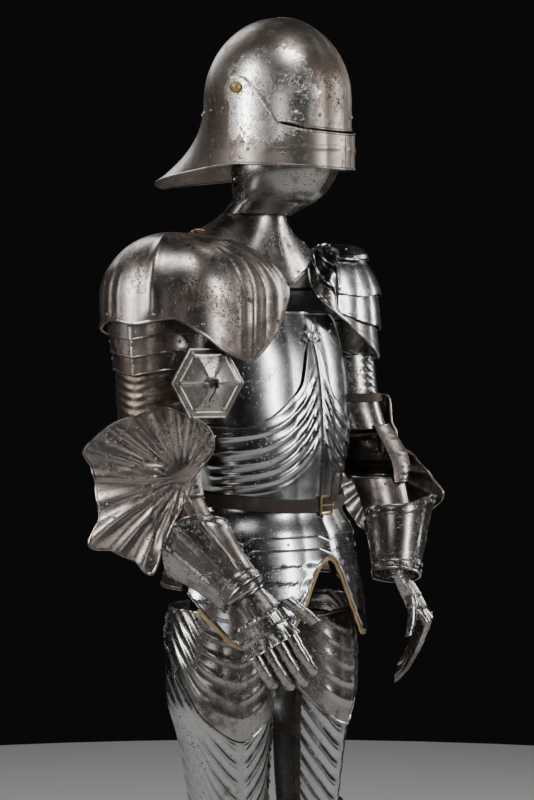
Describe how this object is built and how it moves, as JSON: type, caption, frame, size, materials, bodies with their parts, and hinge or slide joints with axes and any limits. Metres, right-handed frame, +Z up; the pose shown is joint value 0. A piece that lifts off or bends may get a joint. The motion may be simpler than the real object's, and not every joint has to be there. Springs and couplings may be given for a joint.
{
  "type": "suit of plate armour",
  "caption": "Suit of plate armour in a standing pose, hollow, with a visored helmet, fluted shoulder and elbow plates, gauntlets and leg plates.",
  "frame": {"origin": "base of the wearer's neck, between the shoulders, where the wearer carries the harness", "axes": "+Z up; the figure faces -Y, its right side is -X and its left side is +X"},
  "size_m": [0.6624, 0.4586, 1.7924],
  "materials": {
    "bright_steel": "polished steel plate, satin, with fine scratches and small dark pits",
    "worn_steel": "polished steel plate with a grey-brown patina, pitted in places",
    "russet_steel": "steel plate under an even brown rust patina, finely pitted",
    "brown_leather": "old brown strap leather, creased and rubbed",
    "brass": "dull yellow brass rivets and fittings"
  },
  "bodies": {
    "harness": {"sallet_skull": "worn_steel", "visor_pivot_right": "brass", "visor_pivot_left": "brass", "bevor_upper": "worn_steel", "bevor_collar": "worn_steel", "breastplate": "bright_steel", "plackart": "bright_steel", "backplate": "worn_steel", "fauld_1": "bright_steel", "fauld_2": "bright_steel", "fauld_3": "bright_steel", "culet_1": "worn_steel", "culet_2": "worn_steel", "culet_3": "worn_steel", "waist_belt": "brown_leather", "belt_buckle": "brass", "pauldron_right": "russet_steel", "pauldron_right_lame_1": "russet_steel", "pauldron_right_lame_2": "russet_steel", "pauldron_right_lame_3": "russet_steel", "pauldron_left_lame_1": "bright_steel", "pauldron_left_lame_2": "bright_steel", "pauldron_left_lame_3": "bright_steel", "pauldron_left_lame_4": "bright_steel", "rerebrace_right": "russet_steel", "vambrace_right": "russet_steel", "rerebrace_left": "worn_steel", "vambrace_left": "russet_steel", "couter_right": "russet_steel", "couter_left": "russet_steel", "besagew_right": "bright_steel", "gauntlet_right_cuff": "worn_steel", "gauntlet_right_wrist": "worn_steel", "gauntlet_right_hand": "worn_steel", "gauntlet_right_index": "worn_steel", "gauntlet_right_middle": "worn_steel", "gauntlet_right_ring": "worn_steel", "gauntlet_right_little": "worn_steel", "gauntlet_right_thumb": "worn_steel", "gauntlet_left_cuff": "worn_steel", "gauntlet_left_wrist": "worn_steel", "gauntlet_left_hand": "worn_steel", "gauntlet_left_index": "worn_steel", "gauntlet_left_middle": "worn_steel", "gauntlet_left_ring": "worn_steel", "gauntlet_left_little": "worn_steel", "gauntlet_left_thumb": "worn_steel", "cuisse_right_upper": "worn_steel", "cuisse_right_lower": "bright_steel", "poleyn_right": "worn_steel", "greave_right": "worn_steel", "sabaton_right": "worn_steel", "cuisse_left_upper": "worn_steel", "cuisse_left_lower": "bright_steel", "poleyn_left": "worn_steel", "greave_left": "worn_steel", "sabaton_left": "worn_steel"},
    "visor": {"sallet_visor": "worn_steel"}
  },
  "joints": [
    {"name": "visor_hinge", "type": "hinge", "parent": "harness", "child": "visor", "pos_m": [0, -0.044, 0.25], "axis": [-1, 0, 0], "range_deg": [0, 60]}
  ]
}
